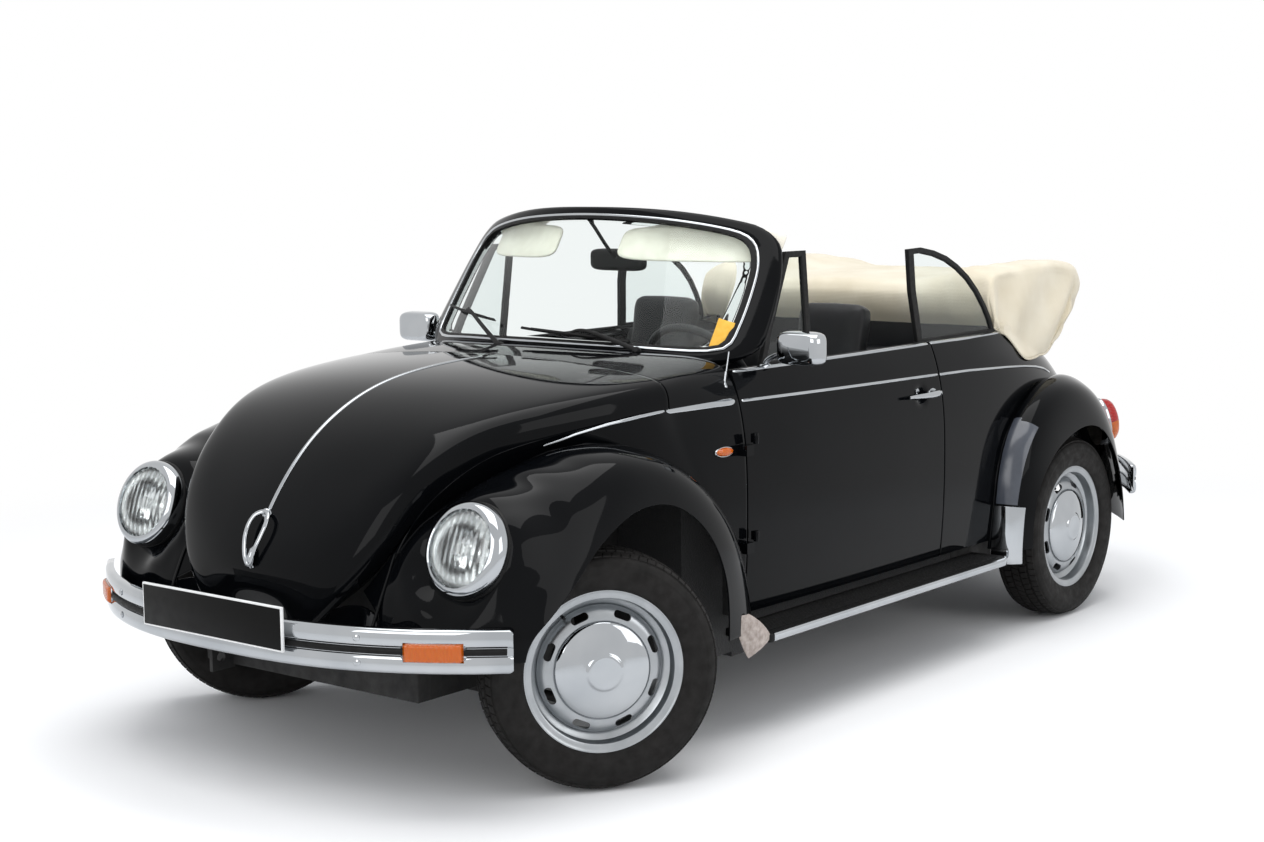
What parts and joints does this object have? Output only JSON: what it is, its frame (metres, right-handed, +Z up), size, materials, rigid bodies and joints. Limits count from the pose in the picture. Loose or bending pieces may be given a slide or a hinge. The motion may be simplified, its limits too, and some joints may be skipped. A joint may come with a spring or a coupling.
{
  "type": "classic compact convertible car",
  "caption": "Classic two-door convertible with a rounded nose, separate fenders, running boards, a folded cloth top and steered front wheels.",
  "frame": {"origin": "on the ground, at the middle of the car's length and width", "axes": "the car faces -Y, its left side is +X, +Z is up"},
  "size_m": [1.8088, 4.11, 1.43],
  "materials": {
    "body_paint": "glossy black paint",
    "underbody": "matt black protective coating",
    "frame_paint": "satin black paint",
    "chrome": "polished",
    "window_glass": "clear",
    "lamp_glass": "clear fluted lens in a chrome ring",
    "tail_lens": "red and amber lens",
    "tyre_rubber": "matt black rubber",
    "wheel_silver": "silver paint with a chrome cap",
    "cloth": "beige canvas, matt",
    "seat_cover": "black grained",
    "padding": "black soft grain",
    "steel": "dark bare metal",
    "rubber": "ribbed black rubber"
  },
  "bodies": {
    "body": {"floor_pan": "underbody", "front_inner": "underbody", "rear_inner": "underbody", "front_apron": "body_paint", "quarter_front_left": "body_paint", "quarter_front_right": "body_paint", "cowl": "body_paint", "windscreen_frame": "frame_paint", "windscreen_glass": "window_glass", "quarter_rear_left": "body_paint", "quarter_rear_right": "body_paint", "rear_deck": "body_paint", "rear_apron": "body_paint", "fender_front_left": "body_paint", "fender_front_right": "body_paint", "fender_rear_left": "body_paint", "fender_rear_right": "body_paint", "running_boards": "rubber", "bumper_front": "chrome", "bumper_rear": "chrome", "headlamps": "lamp_glass", "tail_lamps": "tail_lens", "quarter_windows": "frame_paint", "door_hinges": "frame_paint", "engine": "steel", "exhaust": "steel", "front_axle": "steel", "rear_axle": "steel", "front_seats": "seat_cover", "rear_seat": "seat_cover", "dashboard": "padding", "folded_top": "cloth", "interior_mirror": "chrome"},
    "hood": {"hood": "body_paint"},
    "engine_lid": {"engine_lid": "body_paint"},
    "steering_wheel": {"steering_wheel": "padding"},
    "door_left": {"door_left": "body_paint", "vent_window_left": "frame_paint", "door_mirror_left": "chrome"},
    "knuckle_left": {"knuckle_left": "steel"},
    "wheel_front_left": {"rim_front_left": "wheel_silver", "tyre_front_left": "tyre_rubber"},
    "wheel_rear_left": {"rim_rear_left": "wheel_silver", "tyre_rear_left": "tyre_rubber"},
    "door_right": {"door_right": "body_paint", "vent_window_right": "frame_paint", "door_mirror_right": "chrome"},
    "knuckle_right": {"knuckle_right": "steel"},
    "wheel_front_right": {"rim_front_right": "wheel_silver", "tyre_front_right": "tyre_rubber"},
    "wheel_rear_right": {"rim_rear_right": "wheel_silver", "tyre_rear_right": "tyre_rubber"}
  },
  "joints": [
    {"name": "hood_hinge", "type": "hinge", "parent": "body", "child": "hood", "pos_m": [0, -1.004, 1.036], "axis": [-1, 0, 0], "range_deg": [0, 48]},
    {"name": "engine_lid_hinge", "type": "hinge", "parent": "body", "child": "engine_lid", "pos_m": [0, 1.387, 0.903], "axis": [1, 0, 0], "range_deg": [0, 45]},
    {"name": "door_hinge_left", "type": "hinge", "parent": "body", "child": "door_left", "pos_m": [0.69, -0.712, 0.655], "axis": [0, 0, -1], "range_deg": [0, 65]},
    {"name": "door_hinge_right", "type": "hinge", "parent": "body", "child": "door_right", "pos_m": [-0.69, -0.712, 0.655], "axis": [0, 0, 1], "range_deg": [0, 65]},
    {"name": "steering_left", "type": "hinge", "parent": "body", "child": "knuckle_left", "pos_m": [0.632, -1.345, 0.196], "axis": [-0.1444, 0, 0.9895], "range_deg": [-1.5, 70.5]},
    {"name": "steering_right", "type": "hinge", "parent": "body", "child": "knuckle_right", "pos_m": [-0.632, -1.345, 0.196], "axis": [0.1444, 0, 0.9895], "range_deg": [-1.5, 70.5]},
    {"name": "steering_wheel_turn", "type": "hinge", "parent": "body", "child": "steering_wheel", "pos_m": [0.336, -0.49, 0.93], "axis": [0, 0.866, 0.5], "range_deg": [-21, 987]},
    {"name": "spin_front_left", "type": "hinge", "parent": "knuckle_left", "child": "wheel_front_left", "pos_m": [0.68277, -1.39083, 0.305], "axis": [0.8241, -0.5664, 0], "continuous": true},
    {"name": "spin_front_right", "type": "hinge", "parent": "knuckle_right", "child": "wheel_front_right", "pos_m": [-0.68277, -1.29917, 0.305], "axis": [0.8241, -0.5664, 0], "continuous": true},
    {"name": "spin_rear_left", "type": "hinge", "parent": "body", "child": "wheel_rear_left", "pos_m": [0.6745, 1.075, 0.305], "axis": [1, 0, 0], "continuous": true},
    {"name": "spin_rear_right", "type": "hinge", "parent": "body", "child": "wheel_rear_right", "pos_m": [-0.6745, 1.075, 0.305], "axis": [1, 0, 0], "continuous": true}
  ],
  "couplings": [
    {"joint": "steering_right", "follows": "steering_left", "ratio": 1},
    {"joint": "steering_wheel_turn", "follows": "steering_left", "ratio": 14}
  ]
}
